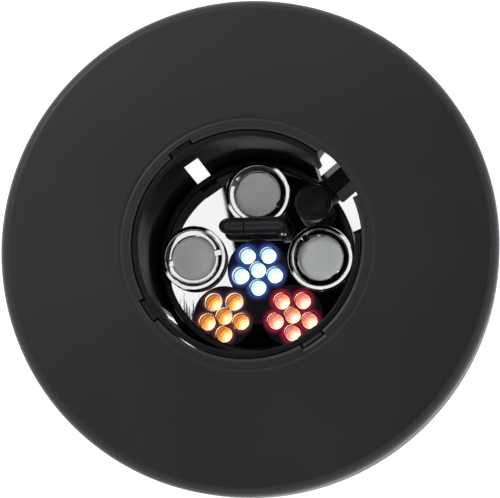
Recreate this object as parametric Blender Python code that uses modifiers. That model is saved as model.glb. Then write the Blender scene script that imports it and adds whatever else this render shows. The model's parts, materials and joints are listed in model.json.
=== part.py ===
"""Floating pond fogger with underwater lights: a ring float, a basket hung in its hole,
and a round head with three mist transducers, three LED clusters and a level switch.

Metres, +Z up. The origin is at the middle of the base, and the lights face up.
"""

import math

import bmesh
import bpy
from mathutils import Vector

MM = 0.001
GAP = 0.3 * MM

# Float ring
FLOAT_RADIUS = 95.0 * MM
FLOAT_TOP = 70.0 * MM
FLOAT_BOTTOM = 45.0 * MM
FLOAT_SPLIT = 57.0 * MM
FLOAT_EDGE = 4.0 * MM
FLOAT_SKIN = 2.0 * MM
HOLE_RADIUS = 43.8 * MM
HOLE_WALL = 5.6 * MM
NOTCH_RADIUS = 45.7 * MM
NOTCH_WIDTH = 10.0 * MM
NOTCH_FLOOR = 65.5 * MM

# Basket
BASKET_RADIUS = 43.4 * MM
BASKET_TOP = 69.5 * MM
BASKET_FLOOR = 3.4 * MM
FOOT_RADIUS = 42.2 * MM
FOOT_BORE = 40.6 * MM
COLLAR_BORE = 41.2 * MM
WALL_BORE = 42.0 * MM
COLLAR_BOTTOM = 45.0 * MM
EAR_AZIMUTHS = (124, 214, 304)
EAR_WIDTH = 8.4 * MM
EAR_REACH = 45.3 * MM
EAR_THICKNESS = 2.6 * MM
HOOK_BORE = 40.6 * MM
WINDOW_WIDTH = 7.8 * MM
WINDOW_TOP = 59.0 * MM
WINDOW_BOTTOM = 12.0 * MM
FIN_TOP = 53.0 * MM
FIN_THICKNESS = 0.8 * MM
CABLE_GATE = (8, 55)
FLOOR_GATE = (21, 55)
CABLE_SLOT = (4, 51)
CABLE_NOTCH = (22, 51)
CABLE_NOTCH_FOOT = (24, 54)
NOTCH_FOOT_RADIUS = 48.2 * MM

# Head
HEAD_RADIUS = 38.9 * MM
HEAD_WALL = 2.4 * MM
HEAD_BASE = 4.0 * MM
FACE_Z = 30.0 * MM
FACE_RADIUS = 36.7 * MM
FACE_THICKNESS = 1.2 * MM
DECK_THICKNESS = 3.0 * MM
RIM_PROUD = 0.3 * MM
BOTTOM_COVER_RADIUS = 36.1 * MM
BOTTOM_COVER_THICKNESS = 2.4 * MM
SCREW_CIRCLE = 30.0 * MM
SCREW_AZIMUTHS = (135, 215, 325)

# Transducers
TRANSDUCER_CIRCLE = 25.2 * MM
TRANSDUCER_AZIMUTHS = (89, 180, 358)
NOTCH_AZIMUTHS = (154, 12, 126)
COLLAR_RADIUS = 12.9 * MM
COLLAR_INNER = 11.45 * MM
COLLAR_STEM = 12.1 * MM
COLLAR_HEIGHT = 4.2 * MM
CERAMIC_RADIUS = 10.0 * MM
RING_OUTER = 11.15 * MM
RING_INNER = 8.5 * MM

# LED clusters
LED_PITCH = 7.05 * MM
LED_RADIUS = 3.05 * MM
LED_HOLE = 3.35 * MM
LED_PANEL_LOBE = 11.7 * MM
LED_PANEL_THICKNESS = 0.4 * MM
LED_CLUSTERS = {
    "blue": (0.0, -4.7 * MM),
    "amber": (-13.6 * MM, -23.1 * MM),
    "red": (13.6 * MM, -23.1 * MM),
}
LED_TIP = FACE_Z - 0.4 * MM
LED_BOARD_Z = 19.0 * MM
DRIVER_BOARD_Z = 11.0 * MM
BOARD_THICKNESS = 1.6 * MM
BOARD_RADIUS = 35.8 * MM

# Cable outlet
OUTLET = (23.4 * MM, 19.8 * MM)
OUTLET_RADIUS = 7.3 * MM
OUTLET_TOP = 43.4 * MM
GLAND_AZIMUTH = 40
GLAND_Z = 37.0 * MM
GLAND_SHOULDER = 5.5 * MM
GLAND_THREAD = 4.6 * MM
GLAND_BORE = 2.6 * MM
GLAND_MOUTH = 3.6 * MM
GLAND_NUT_FLATS = 12.0 * MM
GLAND_NUT_START = 8.7 * MM
GLAND_NUT_END = 19.0 * MM

# Level switch: distances along the float are from its pivot, towards the nose
LEVEL_PIVOT = (11.0 * MM, 11.6 * MM, 39.0 * MM)
LEVEL_RADIUS = 3.35 * MM
LEVEL_WALL = 0.8 * MM
LEVEL_TAIL = 2.6 * MM
LEVEL_SEAM = 15.2 * MM
LEVEL_SHOULDER = 21.4 * MM
LEVEL_NOSE = 25.4 * MM
KNUCKLE_WIDTH = 3.0 * MM
CHEEK_GAP = 3.6 * MM
PIN_RADIUS = 0.8 * MM

SEGMENTS = 48
SMALL_SEGMENTS = 28

MATERIALS = {
    "float_skin": ((0.035, 0.036, 0.038), 0.55, 0.0),
    "foam": ((0.75, 0.74, 0.70), 0.9, 0.0),
    "gloss_black": ((0.012, 0.012, 0.013), 0.18, 0.0),
    "satin_black": ((0.03, 0.03, 0.033), 0.4, 0.0),
    "mirror_steel": ((0.82, 0.83, 0.84), 0.05, 1.0),
    "chrome": ((0.75, 0.76, 0.77), 0.12, 1.0),
    "ceramic": ((0.30, 0.32, 0.28), 0.5, 0.0),
    "rubber": ((0.02, 0.02, 0.02), 0.7, 0.0),
    "spring_steel": ((0.7, 0.68, 0.6), 0.25, 1.0),
    "circuit_board": ((0.02, 0.12, 0.05), 0.45, 0.0),
    "magnet": ((0.3, 0.3, 0.31), 0.4, 0.8),
    "reed_glass": ((0.5, 0.6, 0.55), 0.1, 0.0),
    "led_blue": ((0.45, 0.7, 1.0), 0.1, 0.0),
    "led_amber": ((1.0, 0.55, 0.1), 0.1, 0.0),
    "led_red": ((1.0, 0.12, 0.2), 0.1, 0.0),
}


def clear_scene():
    for obj in list(bpy.data.objects):
        bpy.data.objects.remove(obj, do_unlink=True)


def new_collection(name):
    made = bpy.data.collections.new(name)
    bpy.context.scene.collection.children.link(made)
    return made


clear_scene()
PARTS = new_collection("pond_fogger_light")
CUTTERS = new_collection("cutters")


def material(name, piece):
    """A Principled material of the piece's own, with the colours of one finish."""
    colour, roughness, metallic = MATERIALS[name]
    made = bpy.data.materials.new(f"{piece}_{name}")
    made.use_nodes = True
    shader = made.node_tree.nodes["Principled BSDF"]
    shader.inputs["Base Color"].default_value = (*colour, 1.0)
    shader.inputs["Roughness"].default_value = roughness
    shader.inputs["Metallic"].default_value = metallic
    return made


def place(name, data, finish=None, at=(0, 0, 0)):
    """An object in the parts, or a hidden cutter where no finish is given."""
    obj = bpy.data.objects.new(name, data)
    obj.location = at
    if finish is None:
        CUTTERS.objects.link(obj)
        obj.hide_render = True
        obj.display_type = "WIRE"
        return obj
    PARTS.objects.link(obj)
    data.materials.append(material(finish, name))
    return obj


def polar(radius, azimuth, z=0.0):
    turn = math.radians(azimuth)
    return Vector((radius * math.cos(turn), radius * math.sin(turn), z))


def arc(centre, radius, start, end, steps):
    """Points along an arc in a profile's plane, angles in degrees."""
    points = []
    for step in range(steps + 1):
        turn = math.radians(start + (end - start) * step / steps)
        points.append((centre[0] + radius * math.cos(turn), centre[1] + radius * math.sin(turn)))
    return points


def turned(name, profile, finish=None, at=(0, 0, 0), closed=True, segments=SEGMENTS):
    """A solid of revolution: (radius, z) points that run down the outer side."""
    mesh = bpy.data.meshes.new(name)
    count = len(profile)
    edges = [(i, (i + 1) % count) for i in range(count if closed else count - 1)]
    mesh.from_pydata([(r, 0.0, z) for r, z in profile], edges, [])
    obj = place(name, mesh, finish, at)
    add_screw(obj, segments)
    return obj


def add_screw(obj, segments):
    screw = obj.modifiers.new("turn", "SCREW")
    screw.axis = "Z"
    screw.angle = math.tau
    screw.steps = segments
    screw.render_steps = segments
    screw.use_merge_vertices = True
    screw.merge_threshold = 0.00005
    screw.use_smooth_shade = True
    return screw


def ring(name, outer, inner, bottom, top, finish=None, at=(0, 0, 0), segments=SEGMENTS):
    """A plain turned ring with a square section."""
    section = [(inner, top), (outer, top), (outer, bottom), (inner, bottom)]
    return turned(name, section, finish, at, segments=segments)


def cut(obj, cutter, operation="DIFFERENCE"):
    boolean = obj.modifiers.new(cutter.name, "BOOLEAN")
    boolean.operation = operation
    boolean.solver = "EXACT"
    boolean.use_self = True
    boolean.object = cutter


def finish_mesh(name, shape, finish, at=(0, 0, 0)):
    """Turns a bmesh of closed primitives into an object."""
    mesh = bpy.data.meshes.new(name)
    shape.to_mesh(mesh)
    shape.free()
    return place(name, mesh, finish, at)


def add_rod(shape, x, y, radius, bottom, top, sides=24):
    """Adds one upright cylinder to a bmesh."""
    made = bmesh.ops.create_cone(
        shape, cap_ends=True, segments=sides, radius1=radius, radius2=radius, depth=top - bottom
    )
    bmesh.ops.translate(shape, verts=made["verts"], vec=(x, y, (top + bottom) / 2))


def add_block(shape, inner, outer, width, bottom, top, azimuth, aside=0.0):
    """Adds one block that reaches from inner to outer along an azimuth, shifted aside across it."""
    made = bmesh.ops.create_cube(shape, size=1.0)
    verts = made["verts"]
    bmesh.ops.scale(shape, verts=verts, vec=(outer - inner, width, top - bottom))
    bmesh.ops.translate(shape, verts=verts, vec=((outer + inner) / 2, aside, (top + bottom) / 2))
    turn = math.radians(azimuth)
    for vert in verts:
        x, y = vert.co.x, vert.co.y
        vert.co.x = x * math.cos(turn) - y * math.sin(turn)
        vert.co.y = x * math.sin(turn) + y * math.cos(turn)


def sector(name, inner, outer, bottom, top, span, finish=None):
    """A ring segment between two azimuths."""
    steps = max(2, round((span[1] - span[0]) / 4))
    outline = arc((0, 0), outer, span[0], span[1], steps)
    outline += arc((0, 0), inner, span[1], span[0], steps)
    shape = bmesh.new()
    face = shape.faces.new([shape.verts.new((x, y, bottom)) for x, y in outline])
    made = bmesh.ops.extrude_face_region(shape, geom=[face])
    lifted = [item for item in made["geom"] if isinstance(item, bmesh.types.BMVert)]
    bmesh.ops.translate(shape, verts=lifted, vec=(0, 0, top - bottom))
    bmesh.ops.recalc_face_normals(shape, faces=shape.faces)
    return finish_mesh(name, shape, finish)


def flared_sector(name, inner, low, high):
    """A ring segment that widens on its way down: low and high are (z, outer radius, azimuths)."""
    shape = bmesh.new()
    rings = []
    for z, outer, span in (low, high):
        outline = arc((0, 0), outer, span[0], span[1], 8)
        outline += arc((0, 0), inner, span[1], span[0], 8)
        rings.append([shape.verts.new((x, y, z)) for x, y in outline])
    for i, vert in enumerate(rings[0]):
        ahead = (i + 1) % len(rings[0])
        shape.faces.new((vert, rings[0][ahead], rings[1][ahead]))
        shape.faces.new((vert, rings[1][ahead], rings[1][i]))
    for ring_verts in rings:
        shape.faces.new(ring_verts)
    bmesh.ops.recalc_face_normals(shape, faces=shape.faces)
    return finish_mesh(name, shape, None)


def led_places():
    """Each LED's name, colour and place: one in the middle of five, with one of the five low."""
    places = []
    for colour, (x, y) in LED_CLUSTERS.items():
        places.append((f"led_{colour}_1", colour, x, y))
        for number in range(5):
            spot = polar(LED_PITCH, -90 + 72 * number)
            places.append((f"led_{colour}_{number + 2}", colour, x + spot.x, y + spot.y))
    return places


def transducer_places():
    return [polar(TRANSDUCER_CIRCLE, azimuth) for azimuth in TRANSDUCER_AZIMUTHS]


def make_float():
    """Two skins that meet at mid height, round a foam core, with notches for the basket's ears."""
    wall = HOLE_RADIUS + HOLE_WALL
    edge = FLOAT_RADIUS - FLOAT_EDGE
    inner_edge = FLOAT_EDGE - FLOAT_SKIN
    roll = 1.2 * MM
    joint = FLOAT_SPLIT + GAP / 2
    top_corner = (edge, FLOAT_TOP - FLOAT_EDGE)
    profile = [(HOLE_RADIUS + roll, FLOAT_TOP)]
    profile += arc(top_corner, FLOAT_EDGE, 90, 0, 4)
    profile += [(FLOAT_RADIUS, joint), (FLOAT_RADIUS - FLOAT_SKIN, joint)]
    profile += arc(top_corner, inner_edge, 0, 90, 2)
    profile += [(wall, FLOAT_TOP - FLOAT_SKIN), (wall, joint), (HOLE_RADIUS, joint)]
    profile += [(HOLE_RADIUS, FLOAT_TOP - roll), (HOLE_RADIUS + 0.3 * roll, FLOAT_TOP - 0.3 * roll)]
    top = turned("float_top_shell", profile, "float_skin")

    joint = FLOAT_SPLIT - GAP / 2
    bottom_corner = (edge, FLOAT_BOTTOM + FLOAT_EDGE)
    profile = [(FLOAT_RADIUS - FLOAT_SKIN, joint), (FLOAT_RADIUS, joint)]
    profile += arc(bottom_corner, FLOAT_EDGE, 0, -90, 4)
    profile += [(HOLE_RADIUS + roll, FLOAT_BOTTOM), (HOLE_RADIUS, FLOAT_BOTTOM + roll)]
    profile += [(HOLE_RADIUS, joint), (wall, joint), (wall, FLOAT_BOTTOM + FLOAT_SKIN)]
    profile += arc(bottom_corner, inner_edge, -90, 0, 2)
    bottom = turned("float_bottom_shell", profile, "float_skin")

    inside = FLOAT_RADIUS - FLOAT_SKIN - GAP
    chamfer = 2.2 * MM
    high = FLOAT_TOP - FLOAT_SKIN - GAP
    low = FLOAT_BOTTOM + FLOAT_SKIN + GAP
    profile = [(wall + GAP, high), (inside - chamfer, high), (inside, high - chamfer)]
    profile += [(inside, low + chamfer), (inside - chamfer, low), (wall + GAP, low)]
    turned("float_foam_core", profile, "foam")

    shape = bmesh.new()
    for azimuth in EAR_AZIMUTHS:
        add_block(shape, 40 * MM, NOTCH_RADIUS, NOTCH_WIDTH, NOTCH_FLOOR, FLOAT_TOP + MM, azimuth)
    cut(top, finish_mesh("ear_notches", shape, None))
    low = (FLOAT_BOTTOM - MM, NOTCH_FOOT_RADIUS, CABLE_NOTCH_FOOT)
    high = (FLOAT_TOP + MM, NOTCH_RADIUS, CABLE_NOTCH)
    channel = flared_sector("cable_notch", 40 * MM, low, high)
    cut(top, channel)
    cut(bottom, channel)


def make_basket():
    """A stepped cup with an open floor, windows under its ears, and a gate for the cable."""
    lip = 0.6 * MM
    profile = [(COLLAR_BORE + lip, BASKET_TOP), (BASKET_RADIUS - lip, BASKET_TOP)]
    profile += [(BASKET_RADIUS, BASKET_TOP - lip), (BASKET_RADIUS, COLLAR_BOTTOM)]
    profile += [(FOOT_RADIUS, MM), (FOOT_RADIUS - MM, 0)]
    profile += [(24 * MM, 0), (24 * MM, BASKET_FLOOR), (FOOT_BORE, BASKET_FLOOR)]
    profile += [(WALL_BORE, COLLAR_BOTTOM), (COLLAR_BORE, COLLAR_BOTTOM + 0.8 * MM)]
    profile += [(COLLAR_BORE, BASKET_TOP - lip)]
    basket = turned("basket", profile, "gloss_black")

    shape = bmesh.new()
    hook_top = BASKET_TOP - 0.1 * MM
    for azimuth in EAR_AZIMUTHS:
        add_block(shape, HOOK_BORE, EAR_REACH, EAR_WIDTH, hook_top - EAR_THICKNESS, hook_top, azimuth)
    cut(basket, finish_mesh("ears", shape, None), "UNION")
    shape = bmesh.new()
    hook_wall = (HOOK_BORE, 42.6 * MM, EAR_WIDTH, WINDOW_TOP - 2 * MM, hook_top - MM)
    for azimuth in EAR_AZIMUTHS:
        add_block(shape, *hook_wall, azimuth)
    cut(basket, finish_mesh("hook_faces", shape, None), "UNION")
    shape = bmesh.new()
    for azimuth in EAR_AZIMUTHS:
        add_block(
            shape, 38 * MM, 47 * MM, WINDOW_WIDTH, WINDOW_BOTTOM, WINDOW_TOP, azimuth
        )
    for azimuth in range(80, 361, 28):
        add_block(shape, 28 * MM, 38.5 * MM, 5 * MM, -MM, BASKET_FLOOR + MM, azimuth)
    cut(basket, finish_mesh("windows", shape, None))

    shape = bmesh.new()
    for azimuth in EAR_AZIMUTHS:
        for side in (-1, 1):
            aside = side * (WINDOW_WIDTH / 2 - 0.3 * MM)
            add_block(
                shape, 41.4 * MM, 42.9 * MM, FIN_THICKNESS, WINDOW_BOTTOM - MM, FIN_TOP, azimuth, aside
            )
    cut(basket, finish_mesh("window_fins", shape, None), "UNION")

    gate = sector(
        "cable_gate", 39.2 * MM, 47 * MM, BASKET_FLOOR + 0.6 * MM, COLLAR_BOTTOM - 0.2 * MM, CABLE_GATE
    )
    cut(basket, gate)
    foot = sector("floor_gate", 38.0 * MM, 47 * MM, -MM, BASKET_FLOOR + 2 * MM, FLOOR_GATE)
    cut(basket, foot)
    slot = sector(
        "cable_slot", 39.2 * MM, 47 * MM, COLLAR_BOTTOM - MM, FLOAT_TOP + MM, CABLE_SLOT
    )
    cut(basket, slot)


def stem_openings():
    """One cutter for the collars, the cable outlet and the level switch, which all pass the face."""
    shape = bmesh.new()
    low = FACE_Z - 8 * MM
    high = FACE_Z + 2 * MM
    for spot in transducer_places():
        add_rod(shape, spot.x, spot.y, COLLAR_STEM + GAP, low, high, 32)
    add_rod(shape, *OUTLET, 5.0 * MM + GAP, low, high, 16)
    add_rod(shape, LEVEL_PIVOT[0], LEVEL_PIVOT[1], 2.4 * MM + GAP, low, high, 12)
    return finish_mesh("stem_openings", shape, None)


def led_openings():
    shape = bmesh.new()
    for _, _, x, y in led_places():
        add_rod(shape, x, y, LED_HOLE, FACE_Z - 8 * MM, FACE_Z + 2 * MM, 14)
    return finish_mesh("led_openings", shape, None)


def led_lobes():
    """Three overlapping round lobes, one about each LED cluster."""
    shape = bmesh.new()
    for x, y in LED_CLUSTERS.values():
        add_rod(shape, x, y, LED_PANEL_LOBE, FACE_Z - 4 * MM, FACE_Z + 3 * MM, 32)
    return finish_mesh("led_lobes", shape, None)


def make_head():
    """The black housing, its polished face and LED panel, and the screwed bottom cover."""
    recess = FACE_Z - FACE_THICKNESS - GAP
    deck = recess - DECK_THICKNESS
    rim = FACE_Z + RIM_PROUD
    bore = HEAD_RADIUS - HEAD_WALL
    seat = FACE_RADIUS + GAP
    profile = [(0, recess), (seat, recess), (seat, rim), (HEAD_RADIUS - 0.5 * MM, rim)]
    profile += [(HEAD_RADIUS, rim - 0.5 * MM), (HEAD_RADIUS, HEAD_BASE), (bore, HEAD_BASE)]
    profile += [(bore, deck), (0, deck)]
    housing = turned("head_housing", profile, "satin_black", closed=False)

    stems = stem_openings()
    lamps = led_openings()
    cut(housing, stems)
    cut(housing, lamps)

    top = FACE_Z
    bottom = FACE_Z - FACE_THICKNESS
    profile = [(0, top), (FACE_RADIUS - 0.2 * MM, top), (FACE_RADIUS, top - 0.2 * MM)]
    profile += [(FACE_RADIUS, bottom), (0, bottom)]
    plate = turned("face_plate", profile, "mirror_steel", closed=False)
    cut(plate, stems)
    cut(plate, lamps)
    top = FACE_Z + GAP + LED_PANEL_THICKNESS
    profile = [(0, top), (FACE_RADIUS, top), (FACE_RADIUS, FACE_Z + GAP), (0, FACE_Z + GAP)]
    panel = turned("led_panel", profile, "gloss_black", closed=False)
    cut(panel, led_lobes(), "INTERSECT")
    cut(panel, lamps)

    cover_top = HEAD_BASE + BOTTOM_COVER_THICKNESS
    profile = [(0, cover_top), (BOTTOM_COVER_RADIUS, cover_top), (BOTTOM_COVER_RADIUS, HEAD_BASE)]
    profile += [(0, HEAD_BASE)]
    cover = turned("bottom_cover", profile, "satin_black", closed=False)
    ring(
        "bottom_seal", BOTTOM_COVER_RADIUS, 33.2 * MM, cover_top + GAP, cover_top + 1.6 * MM, "rubber"
    )

    shape = bmesh.new()
    for azimuth in SCREW_AZIMUTHS:
        spot = polar(SCREW_CIRCLE, azimuth)
        add_rod(shape, spot.x, spot.y, 1.7 * MM, 0, cover_top + MM, 16)
        add_rod(shape, spot.x, spot.y, 2.9 * MM, 0, HEAD_BASE + 1.4 * MM, 16)
    cut(cover, finish_mesh("cover_screw_holes", shape, None))
    make_bosses(housing, cover_top, deck)
    for number, azimuth in enumerate(SCREW_AZIMUTHS):
        make_screw(f"cover_screw_{number + 1}", polar(SCREW_CIRCLE, azimuth))


def make_bosses(housing, low, deck):
    """Three posts under the deck that take the cover screws."""
    posts = bmesh.new()
    holes = bmesh.new()
    for azimuth in SCREW_AZIMUTHS:
        spot = polar(SCREW_CIRCLE, azimuth)
        add_rod(posts, spot.x, spot.y, 3.0 * MM, low + GAP, deck + MM, 16)
        add_rod(holes, spot.x, spot.y, 1.7 * MM, low - MM, low + 9 * MM, 12)
    cut(housing, finish_mesh("screw_posts", posts, None), "UNION")
    cut(housing, finish_mesh("post_holes", holes, None))


def make_screw(name, spot):
    """A pan head screw with a hexagon socket, driven up from below."""
    base = HEAD_BASE + 0.1 * MM
    neck = HEAD_BASE + 1.4 * MM - GAP
    profile = [(0, base + 9 * MM), (1.3 * MM, base + 9 * MM), (1.3 * MM, neck), (2.6 * MM, neck)]
    profile += [(2.6 * MM, base + 0.3 * MM), (2.3 * MM, base), (0, base)]
    screw = turned(name, profile, "chrome", (spot.x, spot.y, 0), closed=False, segments=12)
    shape = bmesh.new()
    add_rod(shape, 0, 0, 1.2 * MM, base - MM, base + 0.7 * MM, 6)
    cut(screw, finish_mesh(f"{name}_socket", shape, None, (spot.x, spot.y, 0)))


def make_transducer(number, spot, notch_azimuth):
    """Threaded collar, gasket, ceramic disc, screwed retaining ring and contact spring."""
    at = (spot.x, spot.y, FACE_Z)
    top = COLLAR_HEIGHT
    foot = -6.4 * MM
    ledge = -1.6 * MM
    bore = 8.2 * MM
    bevel = 0.5 * MM
    flare = 0.7 * MM
    profile = [(COLLAR_INNER + flare, top), (COLLAR_RADIUS - 0.3 * MM, top)]
    profile += [(COLLAR_RADIUS, top - 0.3 * MM), (COLLAR_RADIUS, GAP), (COLLAR_STEM, GAP)]
    profile += [(COLLAR_STEM, foot), (bore, foot), (bore, ledge), (COLLAR_INNER, ledge)]
    profile += [(COLLAR_INNER, top - 2 * flare)]
    turned(f"transducer_collar_{number}", profile, "chrome", at, segments=SMALL_SEGMENTS)

    low = ledge + GAP
    gasket_top = low + 1.3 * MM
    name = f"ceramic_gasket_{number}"
    ring(name, 10.6 * MM, 8.6 * MM, low, gasket_top, "rubber", at, SMALL_SEGMENTS)
    low = gasket_top + GAP
    disc_top = low + 1.2 * MM
    profile = [(0, disc_top), (CERAMIC_RADIUS, disc_top), (CERAMIC_RADIUS, low), (0, low)]
    name = f"ceramic_disc_{number}"
    turned(name, profile, "ceramic", at, closed=False, segments=SMALL_SEGMENTS)

    low = disc_top + GAP
    ring_top = low + 2.0 * MM
    profile = [(RING_INNER + bevel, ring_top), (RING_OUTER - 0.2 * MM, ring_top)]
    profile += [(RING_OUTER, ring_top - 0.2 * MM), (RING_OUTER, low), (RING_INNER, low)]
    profile += [(RING_INNER, ring_top - bevel)]
    name = f"retaining_ring_{number}"
    holder = turned(name, profile, "chrome", at, segments=SMALL_SEGMENTS)
    shape = bmesh.new()
    add_block(
        shape, -14 * MM, 14 * MM, 2.4 * MM, ring_top - 1.1 * MM, ring_top + MM, notch_azimuth
    )
    cut(holder, finish_mesh(f"wrench_notch_{number}", shape, None, at))
    make_spring(f"contact_spring_{number}", spot, LED_BOARD_Z + BOARD_THICKNESS + GAP)


def make_spring(name, spot, bottom):
    """A coil that presses on the underside of the ceramic."""
    wire = 0.35 * MM
    top = FACE_Z - 0.3 * MM
    turns = 4
    points = 10 * turns
    low = bottom + wire
    high = top - wire
    curve = bpy.data.curves.new(name, "CURVE")
    curve.dimensions = "3D"
    curve.bevel_depth = wire
    curve.bevel_resolution = 0
    curve.use_fill_caps = True
    spline = curve.splines.new("POLY")
    spline.points.add(points)
    for step in range(points + 1):
        share = step / points
        place_on_coil = polar(2.4 * MM, 360 * turns * share, low + (high - low) * share)
        spline.points[step].co = (*place_on_coil, 1.0)
    place(name, curve, "spring_steel", (spot.x, spot.y, 0))


def make_boards():
    """The driver board and the LED board, cleared for the posts and the collars."""
    shape = bmesh.new()
    for azimuth in SCREW_AZIMUTHS:
        spot = polar(SCREW_CIRCLE, azimuth)
        add_rod(shape, spot.x, spot.y, 3.6 * MM, 0, 25 * MM, 16)
    posts = finish_mesh("board_clearance", shape, None)
    for name, low in (("driver_board", DRIVER_BOARD_Z), ("led_board", LED_BOARD_Z)):
        high = low + BOARD_THICKNESS
        profile = [(0, high), (BOARD_RADIUS, high), (BOARD_RADIUS, low), (0, low)]
        board = turned(name, profile, "circuit_board", closed=False)
        cut(board, posts)


def make_leds():
    """Round LEDs with a foot flange, on the LED board, their tips just under the face."""
    dome_base = LED_TIP - 2.6 * MM
    flange = LED_BOARD_Z + BOARD_THICKNESS + GAP
    profile = [(0, LED_TIP)]
    for step in (1, 2, 3):
        turn = math.radians(30 * step)
        profile.append((LED_RADIUS * math.sin(turn), dome_base + 2.6 * MM * math.cos(turn)))
    profile += [(LED_RADIUS, flange), (0, flange)]
    for name, colour, x, y in led_places():
        turned(name, profile, f"led_{colour}", (x, y, 0), closed=False, segments=12)


def lay_along_gland(obj):
    """Turns a piece made upright so that its +Z runs out along the gland."""
    obj.rotation_euler = (0, math.radians(90), math.radians(GLAND_AZIMUTH))


def laid_along_gland(name, shape, finish=None):
    obj = finish_mesh(name, shape, finish, (*OUTLET, GLAND_Z))
    lay_along_gland(obj)
    return obj


def make_outlet():
    """The elbow on the face, and the gland whose nut grips the cable's rubber bush."""
    body = OUTLET_RADIUS
    profile = [(0, OUTLET_TOP), (4.6 * MM, OUTLET_TOP), (body - 0.7 * MM, OUTLET_TOP - 0.8 * MM)]
    profile += [(body, OUTLET_TOP - 2.2 * MM), (body, FACE_Z + GAP), (5.0 * MM, FACE_Z + GAP)]
    profile += [(5.0 * MM, FACE_Z - 6 * MM), (0, FACE_Z - 6 * MM)]
    elbow = turned("cable_elbow", profile, "gloss_black", (*OUTLET, 0), closed=False, segments=32)

    thread_end = GLAND_NUT_START + 3.4 * MM
    shape = bmesh.new()
    add_rod(shape, 0, 0, GLAND_SHOULDER, 2 * MM, GLAND_NUT_START - GAP, 24)
    add_rod(shape, 0, 0, GLAND_THREAD, 3 * MM, thread_end, 24)
    cut(elbow, laid_along_gland("elbow_stub", shape), "UNION")
    shape = bmesh.new()
    add_rod(shape, 0, 0, GLAND_BORE, 0, 14 * MM, 16)
    add_rod(shape, 0, 0, GLAND_MOUTH, GLAND_NUT_START, 14 * MM, 16)
    cut(elbow, laid_along_gland("elbow_passage", shape))
    shape = bmesh.new()
    add_rod(shape, *OUTLET, GLAND_BORE, FACE_Z - 7 * MM, GLAND_Z, 16)
    cut(elbow, finish_mesh("elbow_drop", shape, None))

    bush_end = thread_end + 0.9 * MM
    outer = GLAND_MOUTH - GAP
    bore = GLAND_BORE - GAP
    section = [(bore, bush_end), (outer, bush_end), (outer, GLAND_NUT_START + GAP)]
    section += [(bore, GLAND_NUT_START + GAP)]
    bush = turned("cable_bush", section, "rubber", (*OUTLET, GLAND_Z), segments=16)
    lay_along_gland(bush)

    shape = bmesh.new()
    corner = GLAND_NUT_FLATS / math.sqrt(3)
    add_rod(shape, 0, 0, corner, GLAND_NUT_START, GLAND_NUT_END, 6)
    nut = laid_along_gland("gland_nut", shape, "satin_black")
    shape = bmesh.new()
    add_rod(shape, 0, 0, GLAND_THREAD + GAP, GLAND_NUT_START - MM, bush_end + GAP, 24)
    add_rod(shape, 0, 0, GLAND_BORE + 0.4 * MM, bush_end - MM, GLAND_NUT_END + MM, 24)
    cut(nut, laid_along_gland("gland_nut_bore", shape))


def rod_across(name, radius, half_length, at, sides=24):
    """A cutter rod whose axis is the level switch's hinge, along Y."""
    shape = bmesh.new()
    add_rod(shape, 0, 0, radius, -half_length, half_length, sides)
    rod = finish_mesh(name, shape, None, at)
    rod.rotation_euler = (math.radians(90), 0, 0)
    return rod


def add_box(shape, low, high):
    """Adds one upright box between two corners to a bmesh."""
    made = bmesh.ops.create_cube(shape, size=1.0)
    size = Vector(high) - Vector(low)
    bmesh.ops.scale(shape, verts=made["verts"], vec=size)
    bmesh.ops.translate(shape, verts=made["verts"], vec=Vector(low) + size / 2)


def make_level_bracket():
    """The fork on the face that holds the hinge pin, with a stop under the float."""
    x, y, z = LEVEL_PIVOT
    foot_top = FACE_Z + 1.6 * MM
    stem = 2.4 * MM
    profile = [(0, foot_top), (3.9 * MM, foot_top), (3.9 * MM, FACE_Z + GAP), (stem, FACE_Z + GAP)]
    profile += [(stem, FACE_Z - 6 * MM), (0, FACE_Z - 6 * MM)]
    bracket = turned("level_bracket", profile, "gloss_black", (x, y, 0), closed=False, segments=24)
    reach = 2.2 * MM
    shape = bmesh.new()
    add_box(shape, (-reach, -LEVEL_RADIUS, foot_top - 0.6 * MM), (reach, LEVEL_RADIUS, z))
    cut(bracket, finish_mesh("fork_block", shape, None, (x, y, 0)), "UNION")
    cut(bracket, rod_across("fork_top", reach, LEVEL_RADIUS - 0.02 * MM, (x, y, z)), "UNION")
    shape = bmesh.new()
    floor = foot_top + 2 * MM
    add_box(shape, (-5 * MM, -CHEEK_GAP / 2, floor), (5 * MM, CHEEK_GAP / 2, z + 4 * MM))
    cut(bracket, finish_mesh("fork_slot", shape, None, (x, y, 0)))
    cut(bracket, rod_across("fork_pin_hole", PIN_RADIUS + GAP, 6 * MM, (x, y, z), 16))
    stop_top = z - LEVEL_RADIUS - GAP
    shape = bmesh.new()
    add_box(shape, (-5 * MM, -1.6 * MM, foot_top - MM), (-2 * MM, 0.4 * MM, stop_top))
    cut(bracket, finish_mesh("float_stop", shape, None, (x, y, 0)), "UNION")
    shape = bmesh.new()
    add_rod(shape, 0, 0, 1.5 * MM, FACE_Z - 7 * MM, FACE_Z + 0.6 * MM, 16)
    cut(bracket, finish_mesh("reed_hole", shape, None, (x, y, 0)))
    low = LED_BOARD_Z + BOARD_THICKNESS + GAP
    shape = bmesh.new()
    add_rod(shape, 0, 0, 1.1 * MM, low, FACE_Z + 0.2 * MM, 12)
    finish_mesh("reed_switch", shape, "reed_glass", (x, y, 0))


def make_hinge_pin():
    tip = LEVEL_RADIUS
    head = -LEVEL_RADIUS - GAP
    profile = [(0, tip), (PIN_RADIUS - 0.2 * MM, tip), (PIN_RADIUS, tip - 0.2 * MM)]
    profile += [(PIN_RADIUS, head), (1.4 * MM, head), (1.4 * MM, head - 0.5 * MM)]
    profile += [(0, head - 0.6 * MM)]
    pin = turned("hinge_pin", profile, "chrome", LEVEL_PIVOT, closed=False, segments=16)
    pin.rotation_euler = (math.radians(-90), 0, 0)


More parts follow.
